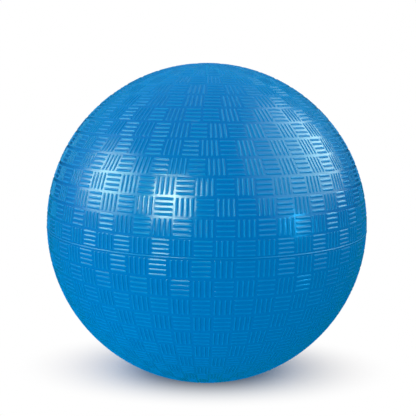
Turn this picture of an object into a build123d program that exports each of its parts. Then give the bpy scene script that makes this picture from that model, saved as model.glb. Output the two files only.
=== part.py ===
import os
from math import acos, degrees, sqrt

from build123d import *

# Ball, measured across the tops of the cover's ribs, and its bonded layers
ball_diameter = 228.6
cover_wall = 1.5
winding_wall = 0.35
bladder_wall = 0.7
cement_film = 0.1

# Parting bead around the equator, half of it on each cover
bead_height = 0.15
bead_width = 0.8

# Valve core: a plug with a blind needle hole, a collar that holds it and a flattened tip
needle_radius = 1.0
funnel_depth = 0.5
funnel_flare = 0.6
core_wall = 2.0
collar_rim = 1.6
collar_height = 2.2
tail_length = 3.8
seal_length = 3.0
tip_length = 3.6
tip_width = 0.8

# Valve housing: a neck through the wall, a flange inside the bladder and a boss below it
neck_wall = 1.2
boss_wall = 2.4
boss_round = 0.8
flange_width = 10.0
flange_wall = 1.2
flange_rim = 0.5
flange_round = 1.5
collar_cover = 1.7
tip_clearance = 0.5
tip_guard = 0.5

# Gum patch over the bladder around the valve, thinned out to its rim
patch_overlap = 4.0
patch_wall = 0.4
patch_feather = 3.0

# Smooth land around the valve, level with the ground between the ribs
rib_height = 0.45
land_width = 2.0

# Radii of the layers' faces, with a film of cement on each side of the winding
outer_radius = ball_diameter / 2
land_level = outer_radius - rib_height
cover_inside = outer_radius - cover_wall
winding_radius = cover_inside - cement_film
winding_inside = winding_radius - winding_wall
bladder_radius = winding_inside - cement_film
air_radius = bladder_radius - bladder_wall

# Radii around the valve's axis
core_radius = needle_radius + core_wall
collar_radius = core_radius + collar_rim
neck_radius = core_radius + neck_wall
land_radius = neck_radius + land_width
boss_radius = collar_radius + boss_wall
flange_radius = boss_radius + flange_width
patch_radius = flange_radius + patch_overlap

# Heights along the valve's axis, from the mouth down into the air space
mouth_z = sqrt(land_level**2 - neck_radius**2)
seat_z = sqrt(air_radius**2 - neck_radius**2)
flange_z = seat_z - flange_wall
collar_top_z = flange_z - collar_cover
collar_foot_z = collar_top_z - collar_height
tip_root_z = collar_foot_z - tail_length
needle_end_z = tip_root_z + seal_length
tip_end_z = tip_root_z - tip_length
boss_end_z = tip_end_z - tip_guard

# Section planes through the axis, one looking up from the equator and one looking down
section_up = Plane.XZ
section_down = Plane((0, 0, 0), x_dir=(1, 0, 0), z_dir=(0, 1, 0))


def on_sphere(radius, x):
    """Point of a sphere's section at distance x from the axis."""
    return (x, sqrt(radius**2 - x**2))


def sphere_arc(radius, x_start, x_end):
    """Draw a sphere's section between two distances from the axis."""
    start = degrees(acos(x_start / radius))
    end = degrees(acos(x_end / radius))
    CenterArc((0, 0), radius, start, end - start)


def lower_half(radius):
    """Draw a sphere's section from the equator down to the bottom pole."""
    CenterArc((0, 0), radius, 0, -90)


def over_patch(radius):
    """Draw a layer's face from the neck, over the patch and down to the equator."""
    shoulder = patch_radius - patch_feather
    sphere_arc(radius + patch_wall, neck_radius, shoulder)
    Line(on_sphere(radius + patch_wall, shoulder), on_sphere(radius, patch_radius))
    sphere_arc(radius, patch_radius, radius)


def cover_rim(pole_end):
    """Draw the parting face, half a bead and the outer face up to a distance from the axis."""
    crest = (outer_radius + bead_height, 0)
    bead_foot = sqrt(outer_radius**2 - (bead_width / 2) ** 2)
    Line((cover_inside, 0), crest)
    TangentArc(crest, on_sphere(outer_radius, bead_foot), tangent=(0, 1))
    sphere_arc(outer_radius, bead_foot, pole_end)


# Upper half of the cover, with the sunken land and the hole for the valve's neck
with BuildPart() as upper_cover:
    with BuildSketch(section_up):
        with BuildLine():
            cover_rim(land_radius)
            Line(on_sphere(outer_radius, land_radius), on_sphere(land_level, land_radius))
            sphere_arc(land_level, land_radius, neck_radius)
            Line(on_sphere(land_level, neck_radius), on_sphere(cover_inside + patch_wall, neck_radius))
            over_patch(cover_inside)
        make_face()
    revolve(axis=Axis.Z)

# Lower half of the cover, closed at the bottom
with BuildPart() as lower_cover:
    with BuildSketch(section_down):
        with BuildLine():
            cover_rim(0)
            Line((0, outer_radius), (0, cover_inside))
            sphere_arc(cover_inside, 0, cover_inside)
        make_face()
    revolve(axis=Axis.Z)

# Nylon carcass, wound over the bladder and its patch
with BuildPart() as nylon_winding:
    with BuildSketch(section_up):
        with BuildLine():
            over_patch(winding_radius)
            lower_half(winding_radius)
            Line((0, -winding_radius), (0, -winding_inside))
            lower_half(winding_inside)
            over_patch(winding_inside)
            Line(
                on_sphere(winding_inside + patch_wall, neck_radius),
                on_sphere(winding_radius + patch_wall, neck_radius),
            )
        make_face()
    revolve(axis=Axis.Z)

# Airtight bladder, with a hole for the valve's neck
with BuildPart() as bladder:
    with BuildSketch(section_up):
        with BuildLine():
            sphere_arc(bladder_radius, neck_radius, bladder_radius)
            lower_half(bladder_radius)
            Line((0, -bladder_radius), (0, -air_radius))
            lower_half(air_radius)
            sphere_arc(air_radius, air_radius, neck_radius)
            Line(on_sphere(air_radius, neck_radius), on_sphere(bladder_radius, neck_radius))
        make_face()
    revolve(axis=Axis.Z)

# Gum patch, between the bladder and the winding
with BuildPart() as valve_patch:
    with BuildSketch(section_up):
        with BuildLine():
            patch_shoulder = patch_radius - patch_feather
            sphere_arc(bladder_radius + patch_wall, neck_radius, patch_shoulder)
            Line(
                on_sphere(bladder_radius + patch_wall, patch_shoulder),
                on_sphere(bladder_radius, patch_radius),
            )
            sphere_arc(bladder_radius, patch_radius, neck_radius)
            Line(on_sphere(bladder_radius, neck_radius), on_sphere(bladder_radius + patch_wall, neck_radius))
        make_face()
    revolve(axis=Axis.Z)

# Valve housing, with the groove that traps the core's collar and a chamber around its tip
with BuildPart() as valve_housing:
    with BuildSketch(section_up):
        with BuildLine():
            Polyline((core_radius, mouth_z), (neck_radius, mouth_z), (neck_radius, seat_z))
            sphere_arc(air_radius, neck_radius, flange_radius)
            Polyline(
                on_sphere(air_radius, flange_radius),
                on_sphere(air_radius - flange_rim, flange_radius),
                (boss_radius, flange_z),
                (boss_radius, boss_end_z),
                (core_radius + tip_clearance, boss_end_z),
                (core_radius + tip_clearance, tip_root_z),
                (core_radius, tip_root_z),
                (core_radius, collar_foot_z),
                (collar_radius, collar_foot_z),
                (collar_radius, collar_top_z),
                (core_radius, collar_top_z),
                (core_radius, mouth_z),
            )
        make_face()
        fillet(vertices().sort_by_distance((boss_radius, flange_z))[0], radius=flange_round)
        fillet(vertices().sort_by_distance((boss_radius, boss_end_z))[0], radius=boss_round)
    revolve(axis=Axis.Z)

# Valve core, turned first and then flattened on two sides into its tip
with BuildPart() as valve_core:
    with BuildSketch(section_up):
        with BuildLine():
            Polyline(
                (0, needle_end_z),
                (needle_radius, needle_end_z),
                (needle_radius, mouth_z - funnel_depth),
                (needle_radius + funnel_flare, mouth_z),
                (core_radius, mouth_z),
                (core_radius, collar_top_z),
                (collar_radius, collar_top_z),
                (collar_radius, collar_foot_z),
                (core_radius, collar_foot_z),
                (core_radius, tip_end_z),
                (0, tip_end_z),
                close=True,
            )
        make_face()
    revolve(axis=Axis.Z)
    with BuildSketch(Plane.YZ):
        with BuildLine():
            Polyline(
                (tip_width / 2, tip_end_z),
                (core_radius, tip_root_z),
                (collar_radius, tip_root_z),
                (collar_radius, tip_end_z),
                close=True,
            )
        make_face()
        mirror(about=Plane.YZ)
    extrude(amount=core_radius, both=True, mode=Mode.SUBTRACT)

pieces = {
    "upper_cover": upper_cover,
    "lower_cover": lower_cover,
    "nylon_winding": nylon_winding,
    "bladder": bladder,
    "valve_patch": valve_patch,
    "valve_housing": valve_housing,
    "valve_core": valve_core,
}

os.makedirs("parts", exist_ok=True)
for name, piece in pieces.items():
    piece.part.label = name
    export_step(piece.part, f"parts/{name}.step")

print("needle hole: wall from z", round(needle_end_z, 3), "to", round(mouth_z - funnel_depth, 3))
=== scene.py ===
from math import atan2, cos, degrees, hypot, pi, radians, sin, sqrt

import bmesh
import bpy
from mathutils import Matrix, Quaternion, Vector


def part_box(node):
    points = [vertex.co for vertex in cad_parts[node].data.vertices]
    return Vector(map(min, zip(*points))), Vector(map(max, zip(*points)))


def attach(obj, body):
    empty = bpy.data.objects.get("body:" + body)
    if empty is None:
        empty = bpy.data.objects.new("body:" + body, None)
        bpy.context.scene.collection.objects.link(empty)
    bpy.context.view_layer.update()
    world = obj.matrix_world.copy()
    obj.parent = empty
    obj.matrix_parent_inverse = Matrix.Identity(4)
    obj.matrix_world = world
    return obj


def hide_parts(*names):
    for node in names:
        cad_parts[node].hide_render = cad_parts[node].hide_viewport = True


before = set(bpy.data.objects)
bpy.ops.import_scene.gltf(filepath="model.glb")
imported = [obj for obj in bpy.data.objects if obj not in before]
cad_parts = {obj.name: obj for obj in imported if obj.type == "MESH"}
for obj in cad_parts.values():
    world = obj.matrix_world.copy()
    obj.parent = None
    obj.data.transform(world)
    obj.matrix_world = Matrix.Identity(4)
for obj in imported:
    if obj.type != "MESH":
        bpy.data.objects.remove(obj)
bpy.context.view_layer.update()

ribTop = -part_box("lower_cover")[0].z  # the ball's radius over its ribs
weld = 0.00001  # corners closer than this are one corner


# selecting by place, as the operators need it

def freshStart():
    if bpy.context.mode != "OBJECT":
        bpy.ops.object.mode_set(mode="OBJECT")
    bpy.ops.object.select_all(action="DESELECT")


def choose(*pieces):
    freshStart()
    for piece in pieces:
        piece.select_set(True)
    bpy.context.view_layer.objects.active = pieces[0]


def pick(kind, test):
    modes = {"verts": "VERT", "edges": "EDGE", "faces": "FACE"}
    bpy.ops.mesh.select_mode(type=modes[kind])
    bpy.ops.mesh.select_all(action="DESELECT")
    mesh = bmesh.from_edit_mesh(bpy.context.object.data)
    for part in getattr(mesh, kind):
        if test(part):
            part.select_set(True)
    bmesh.update_edit_mesh(bpy.context.object.data)


def repeat(piece, count, step):
    array = piece.modifiers.new("row", "ARRAY")
    array.count = count
    array.use_relative_offset = False
    array.use_constant_offset = True
    array.constant_offset_displace = step
    array.use_merge_vertices = True
    array.merge_threshold = weld
    bpy.ops.object.modifier_apply(modifier=array.name)


# basket weave, modelled flat: one rib, a tile of ribs, and a tile turned a quarter beside it

weave = {
    "tileSide": 0.012,
    "ribsPerTile": 4,
    "ribWidth": 0.00152,
    "ribLength": 0.0108,
    "ribCorners": 10,  # round both ends of a rib together
    "shoulder": (0.00030, 0.00018),  # in and up from the foot
    "crest": (0.00038, 0.00012),  # in and up from the shoulder
    # how far the shading tips out at foot, shoulder and crest, in degrees, on the upper and
    # lower flanks of level ribs, which are flatter, and on the flanks of upright ones
    "upperLean": (25, 20, 15),
    "lowerLean": (25, 20, 15),
    "uprightLean": (62, 42, 18),
    # how dull the rubber is at the same three: the upper flanks of level ribs mirror the most
    "upperScuff": (0, 0, 0),
    "lowerScuff": (0.6, 0.6, 0.6),
    "uprightScuff": (1, 0.8, 0.5),
    "tileGap": 0.1,  # degrees left between two bands of tiles
}
tileSide = weave["tileSide"]
ribHeight = weave["shoulder"][1] + weave["crest"][1]
ground = ribTop - ribHeight  # radius of the smooth skin between the ribs


def makeRibCell():
    freshStart()
    pitch = tileSide / weave["ribsPerTile"]
    endRadius = weave["ribWidth"] / 2 / cos(pi / weave["ribCorners"])
    bpy.ops.mesh.primitive_circle_add(
        vertices=weave["ribCorners"], radius=endRadius, fill_type="NGON"
    )
    bpy.ops.object.mode_set(mode="EDIT")
    bpy.ops.mesh.select_all(action="SELECT")
    bpy.ops.transform.rotate(value=pi / 2, orient_axis="Z", center_override=(0, 0, 0))
    stretch = weave["ribLength"] / 2 - endRadius
    for way in (-1, 1):
        pick("verts", lambda v: v.co.x * way > 0)
        bpy.ops.transform.translate(value=(way * stretch, 0, 0))
    pick("faces", lambda f: True)
    for inward, upward in (weave["shoulder"], weave["crest"]):
        bpy.ops.mesh.inset(thickness=inward, depth=upward)
    # the ground around the rib, its long sides cut as often as a tile has ribs
    bpy.ops.mesh.select_all(action="DESELECT")
    bpy.ops.mesh.primitive_plane_add(size=tileSide)
    bpy.ops.transform.resize(value=(1, pitch / tileSide, 1), center_override=(0, 0, 0))
    bpy.ops.mesh.delete(type="ONLY_FACE")
    pick("edges", lambda e: abs(abs(sum(v.co.y for v in e.verts)) - pitch) < weld)
    bpy.ops.mesh.subdivide(number_cuts=weave["ribsPerTile"] - 1)
    pick("edges", lambda e: all(abs(v.co.z) < weld for v in e.verts))
    bpy.ops.mesh.bridge_edge_loops()
    bpy.ops.mesh.select_all(action="SELECT")
    bpy.ops.mesh.normals_make_consistent(inside=False)
    mesh = bmesh.from_edit_mesh(bpy.context.object.data)
    mesh.normal_update()
    if sum(f.normal.z for f in mesh.faces) < 0:
        bpy.ops.mesh.flip_normals()
    bpy.ops.object.mode_set(mode="OBJECT")
    return bpy.context.object


def makeTilePair():
    level = makeRibCell()
    pitch = tileSide / weave["ribsPerTile"]
    repeat(level, weave["ribsPerTile"], (0, pitch, 0))
    bpy.ops.object.mode_set(mode="EDIT")
    bpy.ops.mesh.select_all(action="SELECT")
    bpy.ops.transform.translate(value=(tileSide / 2, pitch / 2, 0))
    bpy.ops.object.mode_set(mode="OBJECT")
    bpy.ops.object.duplicate()
    upright = bpy.context.object
    bpy.ops.object.mode_set(mode="EDIT")
    bpy.ops.mesh.select_all(action="SELECT")
    middle = (tileSide / 2, tileSide / 2, 0)
    bpy.ops.transform.rotate(value=pi / 2, orient_axis="Z", center_override=middle)
    bpy.ops.transform.translate(value=(tileSide, 0, 0))
    choose(level, upright)
    bpy.ops.object.join()
    bpy.ops.object.mode_set(mode="EDIT")
    bpy.ops.mesh.select_all(action="SELECT")
    bpy.ops.mesh.remove_doubles(threshold=weld)
    bpy.ops.object.mode_set(mode="OBJECT")
    return bpy.context.object


# bands of tiles, laid round the ball between two latitudes

def onBall(longitude, latitude, radius):  # longitude 0 faces the camera, and goes right
    across, up = radians(longitude), radians(latitude)
    return Vector((sin(across) * cos(up), -cos(across) * cos(up), sin(up))) * radius


def latitudeOf(place):
    return degrees(atan2(place.z, hypot(place.x, place.y)))


def makeBand(pair, tiles, levelStart, low, high, lean=0, upright=0):
    choose(pair)
    bpy.ops.object.duplicate()
    strip = bpy.context.object
    repeat(strip, (tiles + 1) // 2, (2 * tileSide, 0, 0))
    length = tiles * tileSide
    if tiles % 2:  # an odd band ends on a level tile
        bpy.ops.object.mode_set(mode="EDIT")
        pick("verts", lambda v: v.co.x > length + weld)
        bpy.ops.mesh.delete(type="VERT")
        bpy.ops.object.mode_set(mode="OBJECT")
    low += weave["tileGap"] / 2
    high -= weave["tileGap"] / 2
    for corner in strip.data.vertices:
        latitude = low + (high - low) * corner.co.y / tileSide
        longitude = levelStart + 360 * corner.co.x / length
        offMiddle = latitude - (low + high) / 2
        longitude -= lean * sin(radians(2 * (longitude - upright))) * offMiddle
        corner.co = onBall(longitude, latitude, ground + corner.co.z)
    return strip


def joinBands(strips, edges, name):
    choose(*strips)
    bpy.ops.object.join()
    cover = bpy.context.object
    cover.name = name
    cover.data.name = name
    bpy.ops.object.mode_set(mode="EDIT")
    bpy.ops.mesh.select_all(action="SELECT")
    bpy.ops.mesh.remove_doubles(threshold=weld)
    for edge in edges[1:-1]:
        pickLoop(edge)
        bpy.ops.mesh.bridge_edge_loops()
    return cover


def pickLoop(latitude):
    reach = weave["tileGap"]
    pick("edges", lambda e: e.is_boundary and all(
        abs(latitudeOf(v.co) - latitude) < reach for v in e.verts))


def pullLoop(places):  # extrudes the picked loop to each distance from the axis and height
    for reach, height in places:
        mesh = bmesh.from_edit_mesh(bpy.context.object.data)
        now = next(v.co.copy() for v in mesh.verts if v.select)
        grow = reach / hypot(now.x, now.y)
        bpy.ops.mesh.extrude_edges_move(
            TRANSFORM_OT_translate={"value": (0, 0, height - now.z)}
        )
        bpy.ops.transform.resize(value=(grow, grow, 1), center_override=(0, 0, height))


def capPlace(reach, rise, side):  # a place near a pole, this far above the smooth skin
    return (reach, side * sqrt((ground + rise) ** 2 - reach**2))


def shellPlace(latitude, radius):
    return (radius * cos(radians(latitude)), radius * sin(radians(latitude)))


raisedEdge = [(0.0002, 0.6), (0.0006, 1)]  # in from its foot, and share of the ribs' height there
creaseAngle = 38  # degrees between two faces from which their edge stays sharp
bead = {
    "crest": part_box("upper_cover")[1].x,  # radius of the parting line's top
    "foot": 0.15,  # degrees from the equator
    "steps": 3,
}
innerWall = {
    "radius": 0.11292,
    "step": 5,  # degrees
    "patchFrom": 80,  # latitude, where the valve's patch lifts it
    "patchEdge": (0.0216, 0.11297),  # distance from the axis, and radius there
    "patchTop": (0.0186, 0.11326),
}


def pullBead(side):
    foot = ground * sin(radians(bead["foot"]))
    rise = bead["crest"] - ground
    turns = [pi / 2 * (k + 1) / bead["steps"] for k in range(bead["steps"])]
    pullLoop([(ground + rise * sin(t), side * foot * cos(t)) for t in turns])


def roundRibs(cover, low, high):  # shades the ribs as round bars, and says how dull they are
    mesh = cover.data
    levels = (0, weave["shoulder"][1], ribHeight)
    normals = [corner.vector.copy() for corner in mesh.corner_normals]
    scuff = mesh.attributes.new("scuff", "FLOAT", "CORNER")
    for face in mesh.polygons:
        rises = [mesh.vertices[k].co.length - ground for k in face.vertices]
        if max(rises) < weld or not low < abs(latitudeOf(face.center)) < high:
            continue
        for corner, index, rise in zip(face.loop_indices, face.vertices, rises):
            nearest = min(range(len(levels)), key=lambda k: abs(levels[k] - rise))
            up = mesh.vertices[index].co.normalized()
            side = (normals[corner] - up * normals[corner].dot(up)).normalized()
            facesPole = abs(side.z) > hypot(up.x, up.y) * cos(pi / 4)
            way = ("upper" if side.z > 0 else "lower") if facesPole else "upright"
            tip = radians(weave[way + "Lean"][nearest])
            normals[corner] = up * cos(tip) + side * sin(tip)
            scuff.data[corner].value = weave[way + "Scuff"][nearest]
    mesh.normals_split_custom_set(normals)


def finishCover(cover, node, finish, ribEdges):
    bpy.ops.mesh.select_all(action="SELECT")
    bpy.ops.mesh.remove_doubles(threshold=weld / 10)
    bpy.ops.mesh.normals_make_consistent(inside=False)
    freshStart()
    choose(cover)
    bpy.ops.object.shade_smooth_by_angle(angle=radians(creaseAngle))
    evened = cover.modifiers.new("evenShading", "WEIGHTED_NORMAL")
    evened.keep_sharp = True
    bpy.ops.object.modifier_apply(modifier=evened.name)
    roundRibs(cover, *ribEdges)
    cover.data.materials.clear()
    cover.data.materials.append(finish)
    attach(cover, "root")
    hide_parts(node)
    triangles = sum(len(f.vertices) - 2 for f in cover.data.polygons)
    print(cover.name, "has", triangles, "triangles")


upperHalf = {
    # tiles round the band and where a level tile starts, from the equator up
    "bands": [
        (58, -4.0), (58, 2.4), (58, -3.6), (58, 2.5), (58, -6.4), (56, -9.0), (50, -7.0),
        (47, -2.6), (40, -2.5), (34, -1.4), (34, -12.6), (30, -2.0), (28, 10.4), (20, -2.5),
    ],
    "firstEdge": 5.6,
    "bandHeight": 6.0,
    "leanFrom": 4,  # the first band whose upright ribs lean
    "lean": 0.24,
    "leanMiddle": -2.7,  # longitude where they stand upright
    "valveHole": 0.00425,
    "valveLand": 0.0062,
    "ringOutside": 0.0084,
    "landDepth": 0.00045,  # below the tops of the ribs
    "holeLip": (0.0003, 0.4),  # round the hole: its width, and its drop as a share of the ribs' height
}
lowerHalf = {
    "bands": [
        (56, -4.6), (56, 2.1), (56, -4.5), (56, 2.1), (56, -4.4), (56, 2.2), (56, -4.3),
        (56, 2.2), (56, -4.3), (56, 2.2), (28, -4.3), (28, 8.6), (14, -4.3), (14, 21.4),
    ],
    "firstEdge": -0.3,
    "bandHeight": 6.0,
    "padRadius": 0.0086,
    "padLoops": (0.6, 0.25),  # shares of that radius
}


def makeUpperCover(pair, finish):
    half = upperHalf
    count = len(half["bands"])
    edges = [bead["foot"]] + [half["firstEdge"] + half["bandHeight"] * k for k in range(count)]
    strips = []
    for k, (tiles, levelStart) in enumerate(half["bands"]):
        lean = half["lean"] if k >= half["leanFrom"] else 0
        place = (levelStart, edges[k], edges[k + 1])
        strips.append(makeBand(pair, tiles, *place, lean, half["leanMiddle"]))
    cover = joinBands(strips, edges, "upperCover")
    # a raised ring round the valve, the sunken land inside it and the hole for the neck
    pickLoop(edges[-1])
    land, outside, hole = half["valveLand"], half["ringOutside"], half["valveHole"]
    sunk = 1 - half["landDepth"] / ribHeight
    lip, drop = half["holeLip"]
    ring = [(outside, 0)] + [(outside - inward, share) for inward, share in raisedEdge]
    ring += [(land + inward, share) for inward, share in reversed(raisedEdge)]
    ring += [(land, sunk), (hole + lip, sunk), (hole, sunk - drop)]
    pullLoop([capPlace(reach, share * ribHeight, 1) for reach, share in ring])
    # the parting bead, the parting face and the inside
    pickLoop(edges[0])
    pullBead(1)
    radius, step = innerWall["radius"], innerWall["step"]
    wall = [shellPlace(latitude, radius) for latitude in range(0, innerWall["patchFrom"], step)]
    for reach, level in (innerWall["patchEdge"], innerWall["patchTop"]):
        wall.append((reach, sqrt(level**2 - reach**2)))
    wall.append((hole, sqrt(innerWall["patchTop"][1] ** 2 - hole**2)))
    pullLoop(wall)
    pick("edges", lambda e: e.is_boundary)
    bpy.ops.mesh.bridge_edge_loops()
    finishCover(cover, "upper_cover", finish, (edges[0], edges[-1]))


def makeLowerCover(pair, finish):
    half = lowerHalf
    count = len(half["bands"])
    edges = [half["firstEdge"] - half["bandHeight"] * k for k in range(count + 1)]
    strips = []
    for k, (tiles, levelStart) in enumerate(half["bands"]):
        strips.append(makeBand(pair, tiles, levelStart, edges[k + 1], edges[k]))
    cover = joinBands(strips, edges, "lowerCover")
    # a smooth round pad at the bottom, level with the ribs
    pickLoop(edges[-1])
    rim = half["padRadius"]
    pad = [(rim, 0)] + [(rim - inward, share) for inward, share in raisedEdge]
    pad += [(rim * share, 1) for share in half["padLoops"]]
    pullLoop([capPlace(reach, share * ribHeight, -1) for reach, share in pad])
    bpy.ops.mesh.merge(type="CENTER")
    # the parting bead, the parting face and the inside
    pickLoop(edges[0])
    foot = -bead["foot"]
    pullLoop([shellPlace(foot, ground)])
    pullBead(-1)
    radius, step = innerWall["radius"], innerWall["step"]
    pullLoop([shellPlace(-latitude, radius) for latitude in range(0, 90, step)])
    bpy.ops.mesh.merge(type="CENTER")
    finishCover(cover, "lower_cover", finish, (-edges[0], -edges[-1]))


# materials: sockets as Python values, so that sums and products add their own Math nodes

class Wire:
    def __init__(self, tree, socket=None):
        self.tree = tree
        self.socket = socket

    def node(self, kind, settings=None, sockets=None, out=0):
        made = self.tree.nodes.new(kind)
        for name, value in (settings or {}).items():
            setattr(made, name, value)
        for name, value in (sockets or {}).items():
            if isinstance(value, Wire):
                self.tree.links.new(value.socket, made.inputs[name])
            else:
                made.inputs[name].default_value = value
        return Wire(self.tree, made.outputs[out]) if len(made.outputs) else None

    def maths(self, operation, first, second=0.0):
        return self.node("ShaderNodeMath", {"operation": operation}, {0: first, 1: second})

    def __add__(self, other):
        return self.maths("ADD", self, other)

    def __radd__(self, other):
        return self.maths("ADD", other, self)

    def __sub__(self, other):
        return self.maths("SUBTRACT", self, other)

    def __rsub__(self, other):
        return self.maths("SUBTRACT", other, self)

    def __mul__(self, other):
        return self.maths("MULTIPLY", self, other)

    def __rmul__(self, other):
        return self.maths("MULTIPLY", other, self)

    def noise(self, place, scale, detail=3.0):
        return self.node("ShaderNodeTexNoise", {}, {"Vector": place, "Scale": scale, "Detail": detail})

    def blend(self, amount, first, second):
        return self.node(
            "ShaderNodeMix", {"data_type": "RGBA"}, {0: amount, 6: first, 7: second}, 2
        )

    def steps(self, value, low, high, curve="SMOOTHSTEP"):
        return self.node(
            "ShaderNodeMapRange", {"interpolation_type": curve},
            {"Value": value, "From Min": low, "From Max": high},
        )


def newFinish(name):
    finish = bpy.data.materials.new(name)
    finish.use_nodes = True
    finish.node_tree.nodes.clear()
    wire = Wire(finish.node_tree)
    place = wire.node("ShaderNodeTexCoord", out="Object")
    return finish, wire, place


def close(wire, sockets):
    shader = wire.node("ShaderNodeBsdfPrincipled", {}, sockets)
    wire.node("ShaderNodeOutputMaterial", {}, {"Surface": shader})


coverRubber = {
    "deep": (0.0, 0.138, 0.470, 1),  # the skin, and the paler crests of the ribs, whose paleness is a painted highlight along each crest
    "bright": (0.0, 0.200, 0.580, 1),
    "ribFoot": 0.2,  # shares of the ribs' height where the foot ends and the painted crest highlight begins, and where that highlight is full
    "ribCrest": 0.9,
    "crestHighlightShare": 0.75,  # how much of the change in colour is the painted highlight on the ribs' crests
    "cloudShare": 0.7,  # of what is left; specks have the rest
    "cloudScale": 22.0,
    "speckScale": 900.0,
    "grainScale": 2400.0,
    "grainDetail": 2.0,
    "grainDepth": 0.000008,
    "grainBump": 0.25,
    "glint": (0.0, 0.95, 0.65, 1),  # tint of the broad gloss
    "roughness": 0.28,
    "roughnessSpread": 0.05,
    "ribDullness": 0.15,  # the ribs are rougher than the skin between them
    "scuffDullness": 0.25,
    "polish": 0.72,  # a sharper gloss over the skin, and what the ribs keep of it
    "ribPolish": 0.28,
    "polishRoughness": 0.10,
}


def coverRubberFinish():
    rubber = coverRubber
    finish, wire, place = newFinish("coverRubber")
    radius = wire.node("ShaderNodeVectorMath", {"operation": "LENGTH"}, {0: place}, "Value")
    foot = ground + rubber["ribFoot"] * ribHeight
    # painted highlight: the crests of the ribs are coloured paler, in place of the glints along them
    crest = wire.steps(radius, foot, ground + rubber["ribCrest"] * ribHeight)
    rib = wire.steps(radius, ground, foot)
    scuff = wire.node("ShaderNodeAttribute", {"attribute_name": "scuff"}, out="Fac")
    cloud = wire.noise(place, rubber["cloudScale"])
    speck = wire.noise(place, rubber["speckScale"])
    grain = wire.noise(place, rubber["grainScale"], rubber["grainDetail"])
    skin = wire.node("ShaderNodeBump", {}, {
        "Strength": rubber["grainBump"], "Distance": rubber["grainDepth"], "Height": grain,
    })
    mottle = cloud * rubber["cloudShare"] + speck * (1 - rubber["cloudShare"])
    # the base colour mixes the painted crest highlight with random mottle
    paleness = crest * rubber["crestHighlightShare"] + mottle * (1 - rubber["crestHighlightShare"])
    roughness = rubber["roughness"] + (speck - 0.5) * rubber["roughnessSpread"]
    dullness = rib * rubber["ribDullness"] + scuff * rubber["scuffDullness"]
    polish = rubber["polish"] + rib * (rubber["ribPolish"] - rubber["polish"])
    close(wire, {
        "Base Color": wire.blend(paleness, rubber["deep"], rubber["bright"]),
        "Roughness": roughness + dullness,
        "Specular Tint": rubber["glint"],
        "Coat Weight": polish * (1 - scuff),
        "Coat Roughness": rubber["polishRoughness"],
        "Normal": skin,
    })
    return finish


# what lies under the cover keeps its own shape, and takes a finish for each slot

innerRubbers = {
    "bladder": {  # matt butyl, dusted with talc
        "dark": (0.040, 0.040, 0.043, 1), "pale": (0.120, 0.120, 0.122, 1),
        "cloud": 45.0, "speck": 700.0, "dust": (0.52, 0.78), "rough": 0.62, "grain": 0.00003,
    },
    "valve_patch": {  # brown gum, scuffed where it was buffed for the cement
        "dark": (0.330, 0.185, 0.090, 1), "pale": (0.500, 0.310, 0.170, 1),
        "cloud": 120.0, "speck": 1500.0, "dust": (0.30, 0.75), "rough": 0.55, "grain": 0.00002,
    },
    "valve_housing": {  # satin moulded rubber
        "dark": (0.036, 0.036, 0.040, 1), "pale": (0.062, 0.062, 0.067, 1),
        "cloud": 160.0, "speck": 1800.0, "dust": (0.35, 0.80), "rough": 0.42, "grain": 0.00001,
    },
    "valve_core": {  # the softer plug
        "dark": (0.022, 0.022, 0.026, 1), "pale": (0.046, 0.046, 0.052, 1),
        "cloud": 200.0, "speck": 2200.0, "dust": (0.35, 0.80), "rough": 0.36, "grain": 0.000008,
    },
}
innerMottle = {
    "cloudDetail": 5.0,
    "cloudShare": 0.65,  # of the dust; specks have the rest
    "dustDullness": 0.2,
    "bump": 0.5,
}
thread = {
    "latex": (0.560, 0.520, 0.420, 1),
    "nylon": (0.840, 0.820, 0.770, 1),
    "pitch": 0.0009,
    "height": 0.0001,
    "bump": 0.8,
    "axes": [(0, 0, 1), (0.94, 0, 0.34), (-0.47, 0.81, 0.34), (-0.47, -0.81, 0.34)],
    "beltWidth": 0.085,  # how far a belt of turns reaches to each side of its middle
    "fuzzScale": 1200.0,
    "fuzzShare": 0.2,  # of the change in colour; the turns have the rest
    "roughness": 0.45,
    "fuzzDullness": 0.25,
}


def innerRubberFinish(name, rubber):
    finish, wire, place = newFinish(name)
    cloud = wire.noise(place, rubber["cloud"], innerMottle["cloudDetail"])
    speck = wire.noise(place, rubber["speck"])
    share = innerMottle["cloudShare"]
    dust = wire.steps(cloud * share + speck * (1 - share), *rubber["dust"])
    skin = wire.node("ShaderNodeBump", {}, {
        "Strength": innerMottle["bump"], "Distance": rubber["grain"], "Height": speck,
    })
    close(wire, {
        "Base Color": wire.blend(dust, rubber["dark"], rubber["pale"]),
        "Roughness": rubber["rough"] + dust * innerMottle["dustDullness"],
        "Normal": skin,
    })
    return finish


def threadFinish():
    finish, wire, place = newFinish("nylonThread")
    top = 0.0
    for axis in thread["axes"]:  # turns of thread in belts, each square to its own axis
        along = wire.node(
            "ShaderNodeVectorMath", {"operation": "DOT_PRODUCT"}, {0: place, 1: axis}, "Value"
        )
        ridge = wire.maths("SINE", along * (2 * pi / thread["pitch"])) * 0.5 + 0.5
        middle = 1 - wire.steps(wire.maths("ABSOLUTE", along), 0.0, thread["beltWidth"])
        top = wire.maths("MAXIMUM", ridge * middle, top)
    fuzz = wire.noise(place, thread["fuzzScale"])
    skin = wire.node("ShaderNodeBump", {}, {
        "Strength": thread["bump"], "Distance": thread["height"], "Height": top,
    })
    paleness = top * (1 - thread["fuzzShare"]) + fuzz * thread["fuzzShare"]
    close(wire, {
        "Base Color": wire.blend(paleness, thread["latex"], thread["nylon"]),
        "Roughness": thread["roughness"] + fuzz * thread["fuzzDullness"],
        "Normal": skin,
    })
    return finish


def finishInside():
    finishes = {name: innerRubberFinish(name, rubber) for name, rubber in innerRubbers.items()}
    finishes["nylon_winding"] = threadFinish()
    for name, finish in finishes.items():
        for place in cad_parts[name].material_slots:
            place.material = finish


# stage: floor, world, lamps and camera

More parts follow.
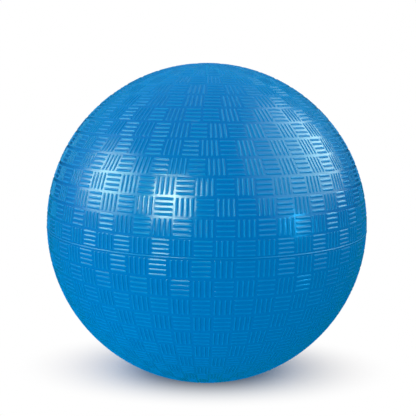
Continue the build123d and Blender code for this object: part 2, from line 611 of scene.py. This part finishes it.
stage = {
    "floorSize": 8.0,
    "floorColour": (0.765, 0.705, 0.66, 1),
    "paintedShadowFrom": -0.005,  # painted shadow: the floor's colour darkens towards the place where the ball stands
    "paintedShadowTo": 0.072,
    "floorMirrored": (0.0, 0.20, 0.24, 1),  # what the gloss shows of the floor
    "shadowMiddle": 0.010,
    "shadowDepth": 2.0,  # the shadow is this much shorter from front to back than from side to side
    "shadowFrom": 0.040,
    "shadowTo": 0.150,
    "floorBounce": (0.0, 1.05, 1.05, 1),  # what the floor throws back on the ball, tinted by it
    "bounceMore": 0.8,  # the share that it gains at the left, close by
    "bounceLeft": -0.12,  # where it has gained all of that
    "bounceReach": (0.15, 0.5),  # distances over which it loses it again
    "ambient": 0.85,
    "ambientLean": 0.55,  # brighter towards this direction, darker away from it
    "ambientFrom": (-0.30, 0.52, 1.16),
    "mirrored": 0.75,  # what the gloss shows of the space behind the ball, high up
    "mirroredTint": (0.02, 0.72, 1.2, 1),
    "mirroredBehind": (-0.3, 0.8),  # from where to where it grows, to the back and upwards
    "mirroredAbove": (-0.1, 0.7),
}


def makeFloor():
    freshStart()
    bpy.ops.mesh.primitive_plane_add(size=stage["floorSize"], location=(0, 0, -ribTop))
    floor = bpy.context.object
    floor.name = "floor"
    bpy.ops.object.transform_apply(location=True)
    finish, wire, place = newFinish("paleFloor")
    offset = wire.node(
        "ShaderNodeVectorMath", {"operation": "SUBTRACT"},
        {0: place, 1: (0, stage["shadowMiddle"], -ribTop)},
    )
    flat = wire.node(
        "ShaderNodeVectorMath", {"operation": "MULTIPLY"}, {0: offset, 1: (1, stage["shadowDepth"], 0)}
    )
    away = wire.node("ShaderNodeVectorMath", {"operation": "LENGTH"}, {0: flat}, "Value")
    near = wire.node(
        "ShaderNodeVectorMath", {"operation": "DISTANCE"}, {0: place, 1: (0, 0, -ribTop)}, "Value"
    )
    # painted shadow: how far the floor's colour has come back from black, by distance from where the
    # ball stands
    paintedShadow = wire.steps(near, stage["paintedShadowFrom"], stage["paintedShadowTo"])
    seen = wire.node("ShaderNodeLightPath", out="Is Camera Ray")
    mirrored = wire.node("ShaderNodeLightPath", out="Is Glossy Ray")
    scattered = wire.node("ShaderNodeLightPath", out="Is Diffuse Ray")
    lift = wire.steps(away, stage["shadowFrom"], stage["shadowTo"])
    # painted shadow: the floor's colour turns black close to where the ball stands
    colour = wire.blend(paintedShadow, (0, 0, 0, 1), stage["floorColour"])
    paint = wire.node("ShaderNodeBsdfDiffuse", {}, {"Color": colour})
    white = wire.node("ShaderNodeEmission", {}, {"Color": (1, 1, 1, 1)})
    dim = wire.node("ShaderNodeEmission", {}, {"Color": stage["floorMirrored"]})
    mixed = wire.node("ShaderNodeMixShader", {}, {0: seen * lift, 1: paint, 2: white})
    across = wire.node("ShaderNodeSeparateXYZ", {}, {0: place}, "X")
    leftward = wire.steps(across, 0.0, stage["bounceLeft"])
    nearby = 1 - wire.steps(near, *stage["bounceReach"])
    bounce = wire.node("ShaderNodeEmission", {}, {
        "Color": stage["floorBounce"], "Strength": leftward * nearby * stage["bounceMore"] + 1,
    })
    mixed = wire.node("ShaderNodeMixShader", {}, {0: scattered, 1: mixed, 2: bounce})
    mixed = wire.node("ShaderNodeMixShader", {}, {0: mirrored, 1: mixed, 2: dim})
    wire.node("ShaderNodeOutputMaterial", {}, {"Surface": mixed})
    floor.data.materials.append(finish)


def makeWorld():
    world = bpy.data.worlds.new("studio")
    bpy.context.scene.world = world
    world.use_nodes = True
    world.cycles.sampling_method = "NONE"  # so that each kind of ray gets its own light
    world.node_tree.nodes.clear()
    wire = Wire(world.node_tree)
    seen = wire.node("ShaderNodeLightPath", out="Is Camera Ray")
    mirrored = wire.node("ShaderNodeLightPath", out="Is Glossy Ray")
    facing = wire.node("ShaderNodeTexCoord", out="Generated")
    lean = wire.node(
        "ShaderNodeVectorMath", {"operation": "DOT_PRODUCT"},
        {0: facing, 1: stage["ambientFrom"]}, "Value",
    )
    soft = stage["ambient"] + lean * stage["ambientLean"]
    depth = wire.node("ShaderNodeSeparateXYZ", {}, {0: facing}, "Y")
    height = wire.node("ShaderNodeSeparateXYZ", {}, {0: facing}, "Z")
    behind = wire.steps(depth, *stage["mirroredBehind"])
    gloss = behind * wire.steps(height, *stage["mirroredAbove"]) * stage["mirrored"]
    level = mirrored * gloss + (1 - mirrored) * soft
    strength = seen + (1 - seen) * level
    colour = wire.blend(mirrored, (1, 1, 1, 1), stage["mirroredTint"])
    light = wire.node("ShaderNodeBackground", {}, {"Color": colour, "Strength": strength})
    wire.node("ShaderNodeOutputWorld", {}, {"Surface": light})


# azimuth 0 is the camera's side, and goes right; glow is a panel's brightness
# roll brings a panel's top towards the camera, in degrees
# fades are the shares of a panel that run out to black at its left, right, lower and upper edges
lamps = {
    "leftSoftbox": {
        "azimuth": -75, "elevation": 24, "roll": 0, "away": 1.1, "wide": 1.25, "tall": 0.95,
        "glow": 8.8, "colour": (1.2, 1.15, 0.87), "mirrored": True,
        "fades": (0.5, 0.5, 0.5, 0.5), "curve": "SMOOTHSTEP",
    },
    "rightSoftbox": {
        "azimuth": 76, "elevation": 38, "roll": 9, "away": 1.1, "wide": 1.92, "tall": 1.43,
        "glow": 6.6, "colour": (0.85, 1, 0.9), "mirrored": True,
        "fades": (0.82, 0.12, 0.4, 0.64), "curve": "LINEAR",
    },
    "keyWindow": {
        "azimuth": -25, "elevation": 23, "roll": 0, "away": 1.2, "wide": 0.76, "tall": 0.88,
        "glow": 17.3, "colour": (1.35, 1, 0.8), "mirrored": True,
        "fades": (0.4, 0.5, 0.5, 0.5), "curve": "SMOOTHSTEP",
    },
    "sideStrip": {
        "azimuth": 60, "elevation": 6, "roll": 0, "away": 1.2, "wide": 0.38, "tall": 0.40,
        "glow": 19.0, "colour": (0.03, 0.52, 1.0), "mirrored": True,
        "fades": (0.5, 0.5, 0.5, 0.5), "curve": "SMOOTHSTEP",
    },
    "leftFill": {
        "azimuth": -55, "elevation": 2, "roll": 0, "away": 1.3, "wide": 1.0, "tall": 0.8,
        "glow": 2.0, "colour": (1, 1, 1), "mirrored": False,
        "fades": (0.1, 0.1, 0.1, 0.1), "curve": "LINEAR",
    },
}


def makeLamps():
    for name, lamp in lamps.items():
        panel = bpy.data.lights.new(name, "AREA")
        panel.shape = "RECTANGLE"
        panel.size = lamp["wide"]
        panel.size_y = lamp["tall"]
        panel.energy = lamp["glow"] * pi * lamp["wide"] * lamp["tall"]
        panel.color = lamp["colour"]
        panel.use_nodes = True
        panel.node_tree.nodes.clear()
        wire = Wire(panel.node_tree)
        across = wire.node("ShaderNodeNewGeometry", out="Parametric")
        right = wire.node("ShaderNodeSeparateXYZ", {}, {0: across}, "X")
        up = wire.node("ShaderNodeSeparateXYZ", {}, {0: across}, "Y")
        strength = 1.0
        for edge, fade in zip((right, 1 - right, up, 1 - up), lamp["fades"]):
            strength = wire.steps(edge, 0.0, fade, lamp["curve"]) * strength
        glow = wire.node("ShaderNodeEmission", {}, {"Strength": strength})
        wire.node("ShaderNodeOutputLight", {}, {"Surface": glow})
        holder = bpy.data.objects.new(name, panel)
        bpy.context.scene.collection.objects.link(holder)
        holder.location = onBall(lamp["azimuth"], lamp["elevation"], lamp["away"])
        holder.rotation_mode = "QUATERNION"
        facing = (-holder.location).to_track_quat("-Z", "Y")
        holder.rotation_quaternion = facing @ Quaternion((0, 0, 1), radians(lamp["roll"]))
        # a panel is either a reflection in the gloss or a light on the colour
        holder.visible_camera = False
        holder.visible_diffuse = not lamp["mirrored"]
        holder.visible_glossy = lamp["mirrored"]


photoView = {
    "away": 0.4926,
    "elevation": 10.50,
    "aimUp": 1.21,  # degrees from the ball's centre
    "aimRight": 0.08,
    "roll": 0.8,
    "lens": 58.07,
    "clipFrom": 0.01,
}


def makeCamera():
    lens = bpy.data.cameras.new("camera")
    lens.lens = photoView["lens"]
    lens.clip_start = photoView["clipFrom"]
    camera = bpy.data.objects.new("camera", lens)
    bpy.context.scene.collection.objects.link(camera)
    turns = [
        (90 - photoView["elevation"] + photoView["aimUp"], "X"),
        (-photoView["aimRight"], "Y"),
        (photoView["roll"], "Z"),
    ]
    stand = Matrix.Translation(onBall(0, photoView["elevation"], photoView["away"]))
    for angle, axis in turns:
        stand = stand @ Matrix.Rotation(radians(angle), 4, axis)
    camera.matrix_world = stand
    bpy.context.scene.camera = camera


bpy.context.scene.view_settings.view_transform = "Standard"
tilePair = makeTilePair()
print("tile pair has", len(tilePair.data.polygons), "faces")
blueRubber = coverRubberFinish()
makeUpperCover(tilePair, blueRubber)
makeLowerCover(tilePair, blueRubber)
bpy.data.objects.remove(tilePair)
finishInside()
print("the inner pieces have their finishes")
makeFloor()
makeWorld()
makeLamps()
makeCamera()
print("stage, lamps and camera are set")
